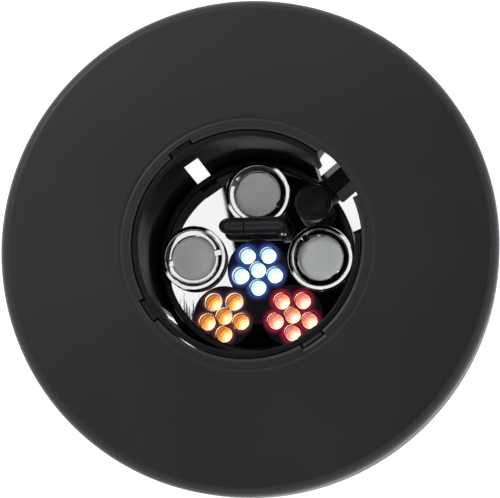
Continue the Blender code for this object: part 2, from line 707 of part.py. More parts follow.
def make_level_float():
    """A two-piece hollow capsule on a knuckle, with a magnet near the hinge."""
    inner = LEVEL_RADIUS - LEVEL_WALL
    seam = LEVEL_SEAM - GAP / 2
    edge = 0.4 * MM
    profile = [(inner, seam), (LEVEL_RADIUS, seam), (LEVEL_RADIUS, LEVEL_TAIL + edge)]
    profile += [(LEVEL_RADIUS - edge, LEVEL_TAIL), (0, LEVEL_TAIL), (0, LEVEL_TAIL + LEVEL_WALL)]
    profile += [(inner, LEVEL_TAIL + LEVEL_WALL)]
    body = turned("level_float_body", profile, "satin_black", LEVEL_PIVOT, segments=24)
    shape = bmesh.new()
    half = KNUCKLE_WIDTH / 2
    add_box(shape, (-LEVEL_TAIL - 0.5 * MM, -half, -1.6 * MM), (0, half, 1.6 * MM))
    knuckle = finish_mesh("knuckle_block", shape, None, LEVEL_PIVOT)
    cut(body, knuckle, "UNION")
    cut(body, rod_across("knuckle_eye", 1.9 * MM, half - 0.02 * MM, LEVEL_PIVOT), "UNION")
    cut(body, rod_across("knuckle_bore", PIN_RADIUS + GAP, 4 * MM, LEVEL_PIVOT, 16))

    seam = LEVEL_SEAM + GAP / 2
    dome = LEVEL_NOSE - LEVEL_SHOULDER
    profile = []
    for step in range(5):
        turn = math.radians(22.5 * step)
        spot = (LEVEL_RADIUS * math.sin(turn), LEVEL_SHOULDER + dome * math.cos(turn))
        profile.append(spot)
    profile += [(LEVEL_RADIUS, seam), (inner, seam), (inner, LEVEL_SHOULDER)]
    profile += [(0, LEVEL_SHOULDER + dome - 1.6 * MM)]
    cap = turned("level_float_cap", profile, "satin_black", LEVEL_PIVOT, closed=False, segments=24)

    shape = bmesh.new()
    low = LEVEL_TAIL + LEVEL_WALL + GAP
    add_rod(shape, 0, 0, 2.2 * MM, low, low + 5 * MM, 16)
    magnet = finish_mesh("level_magnet", shape, "magnet", LEVEL_PIVOT)
    for piece in (body, cap, magnet):
        piece.rotation_euler = (0, math.radians(-90), 0)


def main():
    make_float()
    make_basket()
    make_head()
    for number, spot in enumerate(transducer_places()):
        make_transducer(number + 1, spot, NOTCH_AZIMUTHS[number])
    make_boards()
    make_leds()
    make_outlet()
    make_level_bracket()
    make_hinge_pin()
    make_level_float()


main()
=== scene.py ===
"""The looks of a floating pond fogger with underwater lights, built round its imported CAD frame."""

import json
import math

import bmesh
import bpy
from mathutils import Matrix, Vector


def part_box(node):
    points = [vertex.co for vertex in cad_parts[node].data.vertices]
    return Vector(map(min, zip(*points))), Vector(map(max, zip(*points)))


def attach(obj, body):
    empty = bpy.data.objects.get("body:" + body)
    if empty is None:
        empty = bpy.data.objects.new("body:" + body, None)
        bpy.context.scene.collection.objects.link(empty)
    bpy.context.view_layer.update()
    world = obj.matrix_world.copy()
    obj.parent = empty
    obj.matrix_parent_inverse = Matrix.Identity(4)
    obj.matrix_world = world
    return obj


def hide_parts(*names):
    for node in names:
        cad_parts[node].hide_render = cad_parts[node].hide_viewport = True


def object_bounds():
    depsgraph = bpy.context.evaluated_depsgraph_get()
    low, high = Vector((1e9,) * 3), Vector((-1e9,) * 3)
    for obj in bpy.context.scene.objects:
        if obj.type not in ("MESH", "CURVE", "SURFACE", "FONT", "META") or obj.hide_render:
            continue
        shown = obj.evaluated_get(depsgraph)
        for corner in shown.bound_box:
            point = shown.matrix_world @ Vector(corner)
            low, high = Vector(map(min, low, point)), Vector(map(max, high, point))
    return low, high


MM = 0.001

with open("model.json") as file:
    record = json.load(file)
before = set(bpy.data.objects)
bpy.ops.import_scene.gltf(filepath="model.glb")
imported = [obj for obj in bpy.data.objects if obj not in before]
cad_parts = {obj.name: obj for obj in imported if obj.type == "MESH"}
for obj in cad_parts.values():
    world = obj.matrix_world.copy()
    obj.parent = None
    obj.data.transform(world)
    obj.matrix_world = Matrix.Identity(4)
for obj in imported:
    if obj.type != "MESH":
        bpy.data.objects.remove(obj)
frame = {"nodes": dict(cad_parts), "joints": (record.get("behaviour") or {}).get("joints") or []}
CAD_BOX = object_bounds()


# Places and sizes: those with MM or from the frame are in metres, other lengths in mm and azimuths in
# degrees. A cable notch is its outer radius and the two azimuths between which it runs.


def middle(node):
    low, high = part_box(node)
    return (low + high) / 2


FLOAT_LOW, FLOAT_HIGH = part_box("float_top_shell")
FLOAT_RADIUS = FLOAT_HIGH.x
FLOAT_TOP = FLOAT_HIGH.z
FLOAT_SPLIT = FLOAT_LOW.z
FLOAT_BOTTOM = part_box("float_bottom_shell")[0].z
HOLE = 43.8 * MM
HOLE_WALL = 5.6 * MM
FACE_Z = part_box("face_plate")[1].z
FACE_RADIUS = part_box("face_plate")[1].y
HEAD_LOW, HEAD_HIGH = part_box("head_housing")
HEAD_RADIUS = HEAD_HIGH.y
EARS = (124, 214, 304)
EAR_WIDTH = 8.4 * MM
NOTCH_HALF_ANGLE = 6.45
NOTCH_STEP = 1.9
WINDOW_WIDTH = 7.8 * MM
WINDOW_TOP = 59
CABLE_GATE = (8, 55)
CABLE_SLOT = (4, 51)
CABLE_NOTCH = (45.7, 22, 51)
CABLE_NOTCH_FOOT = (48.2, 24, 54)
FLOOR_GATE = (21, 55)
LED_CENTRES = {colour: middle(f"led_{colour}_1") for colour in ("blue", "amber", "red")}
LEDS = [(f"led_{colour}_{n}", colour) for colour in LED_CENTRES for n in range(1, 7)]
LED_HOLE = 3.35 * MM
LED_PITCH = 7.05 * MM
COLLARS = [middle(f"transducer_collar_{n}") for n in (1, 2, 3)]
COLLAR_STEM = 12.1
RING_BORE = 8.5
RING_NOTCHES = (154, 12, 126)
JOINTS = {joint["name"]: joint for joint in frame["joints"]}
OUTLET = Vector(JOINTS["gland_nut_turn"]["pos_m"])
OUTLET_TURN = math.atan2(JOINTS["gland_nut_turn"]["axis"][1], JOINTS["gland_nut_turn"]["axis"][0])
LEVEL_PIVOT = Vector(JOINTS["level_float_hinge"]["pos_m"])


# Geometry helpers


def rounded(points, steps=4, closed=True):
    """A section whose corners are rounded: each point is (radius, z) or (radius, z, fillet), in mm."""
    made = []
    count = len(points)
    for i, point in enumerate(points):
        here = Vector(point[:2])
        fillet = point[2] if len(point) > 2 else 0
        ends = i in (0, count - 1) and not closed
        if not fillet or ends:
            made.append(here * MM)
            continue
        back = Vector(points[i - 1][:2]) - here
        ahead = Vector(points[(i + 1) % count][:2]) - here
        reach = min(back.length, ahead.length) * 0.49
        back.normalize()
        ahead.normalize()
        half = back.angle(ahead) / 2
        if half > math.radians(89):
            made.append(here * MM)
            continue
        away = min(fillet / math.tan(half), reach)
        radius = away * math.tan(half)
        centre = here + (back + ahead).normalized() * (radius / math.sin(half))
        first = here + back * away - centre
        last = here + ahead * away - centre
        swing = first.angle(last)
        for step in range(steps + 1):
            turn = swing * step / steps
            point = first * math.sin(swing - turn) + last * math.sin(turn)
            made.append((centre + point / math.sin(swing)) * MM)
    return [(p[0], p[1]) for p in made]


def lathe(section, centre=(0, 0), count=128, closed=True, stations=None):
    """A bmesh turned about an upright axis; section may be a function of azimuth in degrees."""
    shape = bmesh.new()
    stations = stations or [360 * i / count for i in range(count)]
    poles = {}
    rows = []
    for azimuth in stations:
        turn = math.radians(azimuth)
        row = []
        for i, (radius, z) in enumerate(section(azimuth) if callable(section) else section):
            if radius < 1e-7:
                if i not in poles:
                    poles[i] = shape.verts.new((centre[0], centre[1], z))
                row.append(poles[i])
                continue
            x = centre[0] + radius * math.cos(turn)
            y = centre[1] + radius * math.sin(turn)
            row.append(shape.verts.new((x, y, z)))
        rows.append(row)
    for i, row in enumerate(rows):
        ahead = rows[(i + 1) % len(rows)]
        for j in range(len(row) if closed else len(row) - 1):
            k = (j + 1) % len(row)
            corners = [row[j], row[k], ahead[k], ahead[j]]
            corners = [v for n, v in enumerate(corners) if v not in corners[:n]]
            if len(corners) > 2:
                shape.faces.new(corners)
    return shape


def rod(shape, x, y, radius, low, high, sides=48):
    made = bmesh.ops.create_cone(
        shape, cap_ends=True, segments=sides, radius1=radius, radius2=radius, depth=high - low
    )
    bmesh.ops.translate(shape, verts=made["verts"], vec=(x, y, (low + high) / 2))


def block(shape, inner, outer, width, low, high, azimuth, aside=0.0):
    made = bmesh.ops.create_cube(shape, size=1.0)["verts"]
    bmesh.ops.scale(shape, verts=made, vec=(outer - inner, width, high - low))
    bmesh.ops.translate(shape, verts=made, vec=((outer + inner) / 2, aside, (low + high) / 2))
    bmesh.ops.rotate(shape, verts=made, matrix=Matrix.Rotation(math.radians(azimuth), 3, "Z"))


def prism(outline, low, high):
    """A bmesh pulled up from an outline in the XY plane."""
    shape = bmesh.new()
    face = shape.faces.new([shape.verts.new((x, y, low)) for x, y in outline])
    made = bmesh.ops.extrude_face_region(shape, geom=[face])
    verts = [item for item in made["geom"] if isinstance(item, bmesh.types.BMVert)]
    bmesh.ops.translate(shape, verts=verts, vec=(0, 0, high - low))
    bmesh.ops.recalc_face_normals(shape, faces=shape.faces)
    return shape


def ring_sector(inner, outer, low, high, start, end):
    steps = max(3, round((end - start) / 2))
    azimuths = [math.radians(start + (end - start) * i / steps) for i in range(steps + 1)]
    outline = [(outer * math.cos(a), outer * math.sin(a)) for a in azimuths]
    outline += [(inner * math.cos(a), inner * math.sin(a)) for a in reversed(azimuths)]
    return prism(outline, low, high)


def hook(section, width, azimuth, aside=0.0):
    """A slab cut to a (radius, z) section and set at an azimuth."""
    shape = prism(section, -width / 2, width / 2)
    turn = Matrix.Rotation(math.radians(azimuth), 3, "Z")
    for vert in shape.verts:
        x, y, z = vert.co
        vert.co = turn @ Vector((x, z + aside, y))
    bmesh.ops.recalc_face_normals(shape, faces=shape.faces)
    return shape


def merge(shape, other):
    """Adds a second bmesh's geometry to the first."""
    mesh = bpy.data.meshes.new("merge")
    other.to_mesh(mesh)
    other.free()
    shape.from_mesh(mesh)
    bpy.data.meshes.remove(mesh)
    return shape


def settle(obj):
    """Applies an object's modifiers to its own mesh."""
    graph = bpy.context.evaluated_depsgraph_get()
    mesh = bpy.data.meshes.new_from_object(obj.evaluated_get(graph))
    obj.modifiers.clear()
    old = obj.data
    obj.data = mesh
    bpy.data.meshes.remove(old)


def carve(obj, cutter, operation="DIFFERENCE"):
    """Applies one exact Boolean with a bmesh."""
    mesh = bpy.data.meshes.new("cutter")
    cutter.to_mesh(mesh)
    cutter.free()
    tool = bpy.data.objects.new("cutter", mesh)
    bpy.context.scene.collection.objects.link(tool)
    boolean = obj.modifiers.new("carve", "BOOLEAN")
    boolean.operation = operation
    boolean.solver = "EXACT"
    boolean.use_self = True
    boolean.object = tool
    settle(obj)
    bpy.data.objects.remove(tool)
    bpy.data.meshes.remove(mesh)


def soften(obj, width, angle=35, segments=2):
    """Rounds an object's sharp edges."""
    bevel = obj.modifiers.new("soften", "BEVEL")
    bevel.width = width
    bevel.segments = segments
    bevel.limit_method = "ANGLE"
    bevel.angle_limit = math.radians(angle)
    bevel.use_clamp_overlap = True
    settle(obj)


def shade(obj, angle=32):
    """Smooth shading that keeps sharp edges and lets broad flat faces stay flat."""
    obj.data.shade_smooth()
    obj.data.set_sharp_from_angle(angle=math.radians(angle))
    weigh = obj.modifiers.new("weigh", "WEIGHTED_NORMAL")
    weigh.keep_sharp = True
    settle(obj)


def raw(name, shape):
    """An object from a bmesh, before it is dressed."""
    bmesh.ops.recalc_face_normals(shape, faces=shape.faces)
    mesh = bpy.data.meshes.new(name)
    shape.to_mesh(mesh)
    shape.free()
    obj = bpy.data.objects.new(name, mesh)
    bpy.context.scene.collection.objects.link(obj)
    return obj


def piece(name, shape, finish, stands_for=(), body="root", bevel=0.0, angle=32):
    """Makes a bmesh into a named piece that rides on a CAD body."""
    obj = raw(name, shape)
    if bevel:
        soften(obj, bevel)
    dress(obj, finish, stands_for, body, angle)
    return obj


def dress(obj, finish, stands_for=(), body="root", angle=32):
    obj.data.materials.clear()
    obj.data.materials.append(finish)
    shade(obj, angle)
    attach(obj, body)
    if stands_for:
        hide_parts(*([stands_for] if isinstance(stands_for, str) else stands_for))


# Materials


class Finish:
    """A Principled material built by short calls; every pattern is in the object's own metres."""

    def __init__(self, name, metallic=0.0, **sockets):
        self.material = bpy.data.materials.new(name)
        self.material.use_nodes = True
        self.tree = self.material.node_tree
        self.shader = self.tree.nodes["Principled BSDF"]
        self.shader.inputs["Metallic"].default_value = metallic
        for socket, value in sockets.items():
            self.shader.inputs[socket.replace("_", " ")].default_value = value
        self.place = self.add("ShaderNodeTexCoord").outputs["Object"]

    def add(self, kind, **settings):
        node = self.tree.nodes.new(kind)
        for name, value in settings.items():
            setattr(node, name, value)
        return node

    def feed(self, socket, value):
        if isinstance(value, bpy.types.NodeSocket):
            self.tree.links.new(value, socket)
        else:
            socket.default_value = value

    def maths(self, operation, *values):
        node = self.add("ShaderNodeMath", operation=operation)
        for socket, value in zip(node.inputs, values):
            self.feed(socket, value)
        return node.outputs[0]

    def length(self, x, y):
        """The length of a flat vector."""
        squares = [self.maths("MULTIPLY", side, side) for side in (x, y)]
        return self.maths("SQRT", self.maths("ADD", *squares))

    def vector(self, operation, *values):
        node = self.add("ShaderNodeVectorMath", operation=operation)
        for socket, value in zip(node.inputs, values):
            self.feed(socket, value)
        return node.outputs["Vector"]

    def noise(self, scale, detail=3.0, roughness=0.5, stretch=(1, 1, 1)):
        spread = self.vector("MULTIPLY", self.place, stretch)
        node = self.add("ShaderNodeTexNoise")
        self.feed(node.inputs["Vector"], spread)
        node.inputs["Scale"].default_value = scale
        node.inputs["Detail"].default_value = detail
        node.inputs["Roughness"].default_value = roughness
        return node.outputs["Fac"]

    def cells(self, scale, feature="F1"):
        node = self.add("ShaderNodeTexVoronoi", feature=feature)
        self.feed(node.inputs["Vector"], self.place)
        node.inputs["Scale"].default_value = scale
        return node.outputs["Distance"]

    def span(self, value, low, high, start=0.0, end=1.0):
        node = self.add("ShaderNodeMapRange")
        for socket, number in zip(node.inputs, (value, low, high, start, end)):
            self.feed(socket, number)
        return node.outputs["Result"]

    def mix(self, factor, first, second):
        node = self.add("ShaderNodeMix", data_type="RGBA")
        self.feed(node.inputs[0], factor)
        self.feed(node.inputs[6], (*first, 1.0) if isinstance(first, tuple) else first)
        self.feed(node.inputs[7], (*second, 1.0) if isinstance(second, tuple) else second)
        return node.outputs[2]

    def colour(self, value):
        self.feed(self.shader.inputs["Base Color"], value)

    def rough(self, value):
        self.feed(self.shader.inputs["Roughness"], value)

    def bump(self, height, depth, strength=1.0):
        """Adds relief; a second call lies on top of the first."""
        node = self.add("ShaderNodeBump")
        node.inputs["Strength"].default_value = strength
        node.inputs["Distance"].default_value = depth
        self.feed(node.inputs["Height"], height)
        under = self.shader.inputs["Normal"].links
        if under:
            self.feed(node.inputs["Normal"], under[0].from_socket)
        self.feed(self.shader.inputs["Normal"], node.outputs["Normal"])


def mottled(name, dark, light, rough, metallic=0.0, broad=30, fine=900, relief=0.01, **sockets):
    """The common finish: two colours in a broad cloud, with roughness and relief from noise."""
    made = Finish(name, metallic, **sockets)
    cloud = made.noise(broad, 4, 0.55)
    grain = made.noise(fine, 3, 0.6)
    made.colour(made.mix(made.span(cloud, 0.3, 0.7), dark, light))
    blend = made.maths("MULTIPLY_ADD", grain, 0.35, made.maths("MULTIPLY", cloud, 0.65))
    made.rough(made.span(blend, 0.3, 0.7, rough[0], rough[1]))
    made.bump(grain, relief * MM, 0.5)
    return made


def wall_black():
    """Glossy injection moulding with faint upright draw lines."""
    made = mottled("moulded_black", (0.007, 0.007, 0.008), (0.012, 0.012, 0.013), (0.20, 0.32),
                   broad=40, fine=1500, relief=0.005, Specular_IOR_Level=0.13)
    draw = made.noise(260, 3, 0.6, (1, 1, 0.05))
    made.bump(draw, 0.05 * MM, 0.35)
    return made.material


def float_black():
    made = mottled("float_skin_black", (0.0045, 0.0047, 0.0052), (0.0075, 0.0078, 0.0086), (0.36, 0.48),
                   broad=16, fine=1300, relief=0.02, Specular_IOR_Level=0.5)
    swell = made.noise(38, 2, 0.5)
    made.bump(swell, 0.2 * MM, 0.3)
    return made.material


def satin_black(name, lighter=1.0):
    dark = (0.008 * lighter, 0.0082 * lighter, 0.009 * lighter)
    light = (0.014 * lighter, 0.0143 * lighter, 0.0155 * lighter)
    return mottled(name, dark, light, (0.30, 0.42), broad=90, fine=2200, relief=0.012,
                   Specular_IOR_Level=0.36).material


def mirror():
    made = mottled("mirror_polished_steel", (0.93, 0.935, 0.945), (0.96, 0.962, 0.965), (0.0, 0.02),
                   metallic=1.0, broad=60, fine=700, relief=0.0004)
    swirl = made.noise(24, 2, 0.5)
    made.bump(swirl, 0.012 * MM, 0.3)
    return made.material


def chrome(name, dark=0.62, rough=(0.06, 0.16)):
    made = mottled(name, (dark, dark, dark * 1.01), (0.93, 0.935, 0.94), rough,
                   metallic=1.0, broad=160, fine=2500, relief=0.0015)
    return made.material


def ceramic():
    """Fired grey glaze with a fine speckle."""
    made = Finish("grey_ceramic", Coat_Weight=0.25, Coat_Roughness=0.2)
    cloud = made.noise(110, 4, 0.6)
    speckle = made.noise(2600, 2, 0.7)
    base = made.mix(made.span(cloud, 0.3, 0.7), (0.80, 0.83, 0.79), (0.91, 0.94, 0.90))
    made.colour(made.mix(made.span(speckle, 0.52, 0.70, 0.0, 0.8), base, (0.50, 0.525, 0.49)))
    made.rough(made.span(speckle, 0.3, 0.7, 0.38, 0.55))
    made.bump(speckle, 0.06 * MM, 0.7)
    return made.material


def rubber(name):
    return mottled(name, (0.010, 0.010, 0.011), (0.020, 0.020, 0.021), (0.55, 0.75),
                   broad=120, fine=1600, relief=0.03).material


# Colours of the painted glow that the lamp panel emits round each lamp cluster.
PAINTED_GLOW = {"blue": (0.09, 0.20, 0.90), "amber": (0.34, 0.08, 0.10), "red": (0.80, 0.02, 0.14)}


def panel_black_painted_glow():
    """Black glossy panel with a painted coloured glow close round each lamp: emission that stands in for
    the lamps' light falling on it.
    """
    made = Finish("lamp_panel_black_painted_glow", Specular_IOR_Level=0.08)
    grain = made.noise(1200, 3, 0.6)
    made.colour(made.mix(made.span(grain, 0.3, 0.7), (0.010, 0.010, 0.013), (0.016, 0.016, 0.020)))
    made.rough(made.span(grain, 0.3, 0.7, 0.14, 0.24))
    made.bump(grain, 0.008 * MM, 0.4)
    # Painted light: the panel emits a coloured glow that fades with distance from each lamp.
    painted_glow = None
    for colour, centre in LED_CENTRES.items():
        away = made.vector("SUBTRACT", made.place, tuple(centre))
        split = made.add("ShaderNodeSeparateXYZ")
        made.feed(split.inputs[0], away)
        x, y = split.outputs[0], split.outputs[1]
        reach = made.length(x, y)
        turn = made.maths("ADD", made.maths("ARCTAN2", y, x), math.pi / 2)
        fold = made.maths("ABSOLUTE", made.maths("WRAP", turn, math.radians(36), math.radians(-36)))
        across = made.maths("MULTIPLY", reach, made.maths("SINE", fold))
        along = made.maths("MULTIPLY", reach, made.maths("COSINE", fold))
        along = made.maths("SUBTRACT", along, LED_PITCH)
        outer = made.length(across, along)
        near = made.maths("MINIMUM", reach, outer)
        fade = made.span(near, 3.0 * MM, 6.2 * MM, 1.0, 0.0)
        fade = made.maths("POWER", fade, 2.8)
        lit = made.vector("SCALE", PAINTED_GLOW[colour])
        made.feed(lit.node.inputs["Scale"], fade)
        painted_glow = lit if painted_glow is None else made.vector("ADD", painted_glow, lit)
    made.feed(made.shader.inputs["Emission Color"], painted_glow)
    made.shader.inputs["Emission Strength"].default_value = 0.8
    made.material.cycles.emission_sampling = "NONE"
    return made.material


def lens(colour, tint):
    made = Finish(f"lens_{colour}", Transmission_Weight=1.0, IOR=1.5)
    film = made.noise(500, 2, 0.5)
    made.colour(made.mix(made.span(film, 0.3, 0.7), tint, tuple(0.5 + 0.5 * c for c in tint)))
    made.rough(made.span(film, 0.3, 0.7, 0.02, 0.08))
    return made.material


def lamp(colour, edge, core, strength):
    """The lit reflector cup, brightest at its die and ringed like a turned cup."""
    made = Finish(f"cup_{colour}")
    centre = made.vector("SUBTRACT", made.place, (0.3 * MM, -0.3 * MM, 0))
    split = made.add("ShaderNodeSeparateXYZ")
    made.feed(split.inputs[0], centre)
    x, y = split.outputs[0], split.outputs[1]
    reach = made.length(x, y)
    heat = made.span(reach, 0.3 * MM, 1.75 * MM, 1.0, 0.0)
    rings = made.maths("SINE", made.maths("MULTIPLY", reach, 14000.0))
    ripple = made.span(rings, -1.0, 1.0, 0.6, 1.2)
    made.feed(made.shader.inputs["Emission Color"], made.mix(made.maths("POWER", heat, 2.0), edge, core))
    power = made.maths("MULTIPLY", made.span(heat, 0.0, 1.0, strength[0], strength[1]), ripple)
    made.feed(made.shader.inputs["Emission Strength"], power)
    made.colour(made.mix(heat, tuple(0.5 * c for c in edge), edge))
    made.rough(made.span(ripple, 0.6, 1.2, 0.25, 0.4))
    made.material.cycles.emission_sampling = "NONE"
    return made.material


WALL = wall_black()
FLOAT = float_black()
SATIN = satin_black("satin_black")
CAPSULE = satin_black("capsule_black", 1.15)
MIRROR = mirror()
CHROME = chrome("chrome_collar", 0.80, (0.02, 0.06))
RING = chrome("chrome_ring", 0.84, (0.02, 0.07))
CERAMIC = ceramic()
RUBBER = rubber("rubber_black")
PANEL_WITH_PAINTED_GLOW = panel_black_painted_glow()
LENSES = {
    "blue": lens("blue", (0.80, 0.92, 1.0)),
    "amber": lens("amber", (1.0, 0.88, 0.62)),
    "red": lens("red", (1.0, 0.85, 0.80)),
}
CUPS = {
    "blue": lamp("blue", (0.62, 0.86, 1.0), (0.97, 1.0, 1.0), (1.15, 1.6)),
    "amber": lamp("amber", (0.85, 0.26, 0.03), (1.0, 0.86, 0.50), (0.5, 2.6)),
    "red": lamp("red", (1.0, 0.24, 0.20), (1.0, 0.82, 0.50), (0.55, 2.6)),
}


# Float ring


def notch_depth(azimuth):
    """How far the top of the hole's wall steps back at an azimuth, to take the basket's ears."""
    near = any(abs((azimuth - ear + 180) % 360 - 180) < NOTCH_HALF_ANGLE for ear in EARS)
    return NOTCH_STEP if near else 0.0


def float_stations():
    """Even azimuths round the float, with a close pair at each side of a notch."""
    edges = [ear + side * NOTCH_HALF_ANGLE for ear in EARS for side in (-1, 1)]
    made = sorted({round(360 * i / 240, 3) for i in range(240)})
    made = [a for a in made if all(abs(a - e) > 0.4 for e in edges)]
    for edge in edges:
        made += [edge - 0.12, edge + 0.12]
    return sorted(made)


def cable_channel():
    """A cutter for the cable's notch through the float, which widens on its way down."""
    shape = bmesh.new()
    rings = []
    foot = (FLOAT_BOTTOM - MM, *CABLE_NOTCH_FOOT)
    head = (FLOAT_TOP + MM, *CABLE_NOTCH)
    for z, outer, start, end in (foot, head):
        turns = [math.radians(start + (end - start) * i / 24) for i in range(25)]
        outline = [(outer * math.cos(a), outer * math.sin(a)) for a in turns]
        outline += [(40 * math.cos(a), 40 * math.sin(a)) for a in reversed(turns)]
        rings.append([shape.verts.new((x * MM, y * MM, z)) for x, y in outline])
    for i, vert in enumerate(rings[0]):
        ahead = (i + 1) % len(rings[0])
        shape.faces.new((vert, rings[0][ahead], rings[1][ahead]))
        shape.faces.new((vert, rings[1][ahead], rings[1][i]))
    for ring in rings:
        shape.faces.new(ring)
    bmesh.ops.recalc_face_normals(shape, faces=shape.faces)
    return shape


def make_float():
    top = FLOAT_TOP / MM
    split = FLOAT_SPLIT / MM
    radius = FLOAT_RADIUS / MM
    hole = HOLE / MM
    wall = hole + HOLE_WALL / MM

    def upper(azimuth):
        high = notch_depth(azimuth)
        crest = [(hole + high, top - 0.55, 0.5), (hole + high + 1.1, top, 0.9)]
        rim = [(47.2, top, 0.5), (47.9, top - 0.12, 0.5), (49.0, top - 0.02, 0.6), (60, top)]
        side = [(radius, top, 4.2), (radius, split, 0.25)]
        inner = [(radius - 2, split), (radius - 2, top - 2, 2), (wall, top - 2), (wall, split)]
        step = [(hole, split, 0.2), (hole, 65.5), (hole + high, 65.5)]
        return rounded(crest + rim + side + inner + step, 5)

    skin = raw("float_top_skin", lathe(upper, stations=float_stations()))
    carve(skin, cable_channel())
    soften(skin, 0.35 * MM, 50)
    dress(skin, FLOAT, "float_top_shell", angle=50)

    low = FLOAT_BOTTOM / MM
    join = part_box("float_bottom_shell")[1].z / MM
    section = [(hole, join, 0.2), (wall, join), (wall, low + 2), (radius - 2, low + 2, 2)]
    section += [(radius - 2, join), (radius, join, 0.25), (radius, low, 4.2), (60, low)]
    section += [(49.8, low, 0.5), (hole, low, 1.2)]
    skin = raw("float_bottom_skin", lathe(rounded(section, 5), count=240))
    carve(skin, cable_channel())
    soften(skin, 0.35 * MM, 50)
    dress(skin, FLOAT, "float_bottom_shell", angle=50)


# Basket


def make_basket():
    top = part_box("basket")[1].z / MM
    section = [(40.6, 3.4, 0.6), (24, 3.4, 0.5), (24, 0, 0.5), (42.2, 0, 1.2), (43.4, 45.0)]
    section += [(43.4, top, 0.5), (41.2, top, 0.6), (41.2, 45.8, 0.25), (42.0, 45.0)]
    wall = raw("basket_wall", lathe(rounded(section, 4), count=216))
    cutter = bmesh.new()
    for azimuth in EARS:
        block(cutter, 38 * MM, 47 * MM, WINDOW_WIDTH, 12 * MM, WINDOW_TOP * MM, azimuth)
    for azimuth in range(80, 361, 28):
        block(cutter, 28 * MM, 38.5 * MM, 5 * MM, -1 * MM, 4.4 * MM, azimuth)
    carve(wall, cutter)
    inside, outside = 39.2 * MM, 47 * MM
    carve(wall, ring_sector(inside, outside, 4.0 * MM, 44.8 * MM, *CABLE_GATE))
    carve(wall, ring_sector(38.0 * MM, outside, -1 * MM, 5.4 * MM, *FLOOR_GATE))
    carve(wall, ring_sector(inside, outside, 44.0 * MM, 71 * MM, *CABLE_SLOT))
    dress(wall, WALL, "basket")

    foot = WINDOW_TOP - 1.8
    ear = [(40.6, foot, 0.5), (42.3, foot, 0.4), (42.3, 66.8), (45.3, 66.8, 0.5)]
    ear += [(45.3, 69.4, 0.2), (43.9, 68.9, 0.3), (40.6, 68.9, 0.7)]
    for number, azimuth in enumerate(EARS, 1):
        shape = hook(rounded(ear, 3), EAR_WIDTH, azimuth)
        piece(f"basket_ear_{number}", shape, WALL, bevel=0.25 * MM)
        fins = bmesh.new()
        for side in (-3.6, 3.6):
            fin = [(41.4, 11.5), (42.9, 11.5), (42.9, 53, 0.3), (41.4, 53, 0.3)]
            merge(fins, hook(rounded(fin, 2), 0.8 * MM, azimuth, side * MM))
        piece(f"basket_fins_{number}", fins, WALL, bevel=0.12 * MM)


# Head


def head_holes():
    """One cutter for all that passes through the face."""
    cutter = bmesh.new()
    low = FACE_Z - 8 * MM
    high = FACE_Z + 2 * MM
    for centre in COLLARS:
        rod(cutter, centre.x, centre.y, (COLLAR_STEM + 0.3) * MM, low, high, 96)
    for name, _ in LEDS:
        spot = middle(name)
        rod(cutter, spot.x, spot.y, LED_HOLE, low, high, 40)
    rod(cutter, OUTLET.x, OUTLET.y, 5.3 * MM, low, high, 48)
    rod(cutter, LEVEL_PIVOT.x, LEVEL_PIVOT.y, 2.7 * MM, low, high, 32)
    return cutter


def panel_outline(lobe=12.1 * MM):
    """The outline of three overlapping lobes, seen from a point between them."""
    centres = list(LED_CENTRES.values())
    hub = Vector((0, sum(c.y for c in centres) / 3))
    outline = []
    steps = 216
    for step in range(steps):
        turn = math.tau * step / steps
        way = Vector((math.cos(turn), math.sin(turn)))
        reach = 9.5 * MM
        for centre in centres:
            away = Vector(centre[:2]) - hub
            along = away.dot(way)
            miss = away.length_squared - along * along
            if along > 0 and miss < lobe * lobe:
                reach = max(reach, along + math.sqrt(lobe * lobe - miss))
        point = hub + way * reach
        if point.length > FACE_RADIUS - 0.3 * MM:
            point *= (FACE_RADIUS - 0.3 * MM) / point.length
        outline.append((point.x, point.y))
    return outline


def make_head():
    base = HEAD_LOW.z / MM
    rim = HEAD_HIGH.z / MM
    radius = HEAD_RADIUS / MM
    section = [(36.5, base, 0.3), (radius, base, 0.8), (radius, rim, 0.45), (37.0, rim, 0.2)]
    section += [(37.0, 28.5), (36.2, 28.5), (36.2, 25.5), (36.5, 25.5)]
    piece("head_shell", lathe(rounded(section, 4), count=192), SATIN, "head_housing")

    deck = raw("head_deck", lathe([(0, 28.5 * MM), (36.1 * MM, 28.5 * MM), (36.1 * MM, 25.6 * MM),
                                   (0, 25.6 * MM)], count=96, closed=False))
    carve(deck, head_holes())
    dress(deck, SATIN, "head_housing")

    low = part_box("face_plate")[0].z
    face = [(0, FACE_Z), (FACE_RADIUS - 0.25 * MM, FACE_Z), (FACE_RADIUS, FACE_Z - 0.25 * MM)]
    face += [(FACE_RADIUS, low), (0, low)]
    plate = raw("face_mirror", lathe(face, count=192, closed=False))
    carve(plate, head_holes())
    soften(plate, 0.16 * MM, 60, 1)
    dress(plate, MIRROR, "face_plate", angle=25)

    sheet = raw("lamp_panel", prism(panel_outline(), FACE_Z + 0.02 * MM, FACE_Z + 0.2 * MM))
    cutter = bmesh.new()
    for name, _ in LEDS:
        spot = middle(name)
        rod(cutter, spot.x, spot.y, LED_HOLE + 0.3 * MM, FACE_Z - 3 * MM, FACE_Z + 3 * MM, 40)
    carve(sheet, cutter)
    dress(sheet, PANEL_WITH_PAINTED_GLOW, "led_panel", angle=25)

    make_cover()


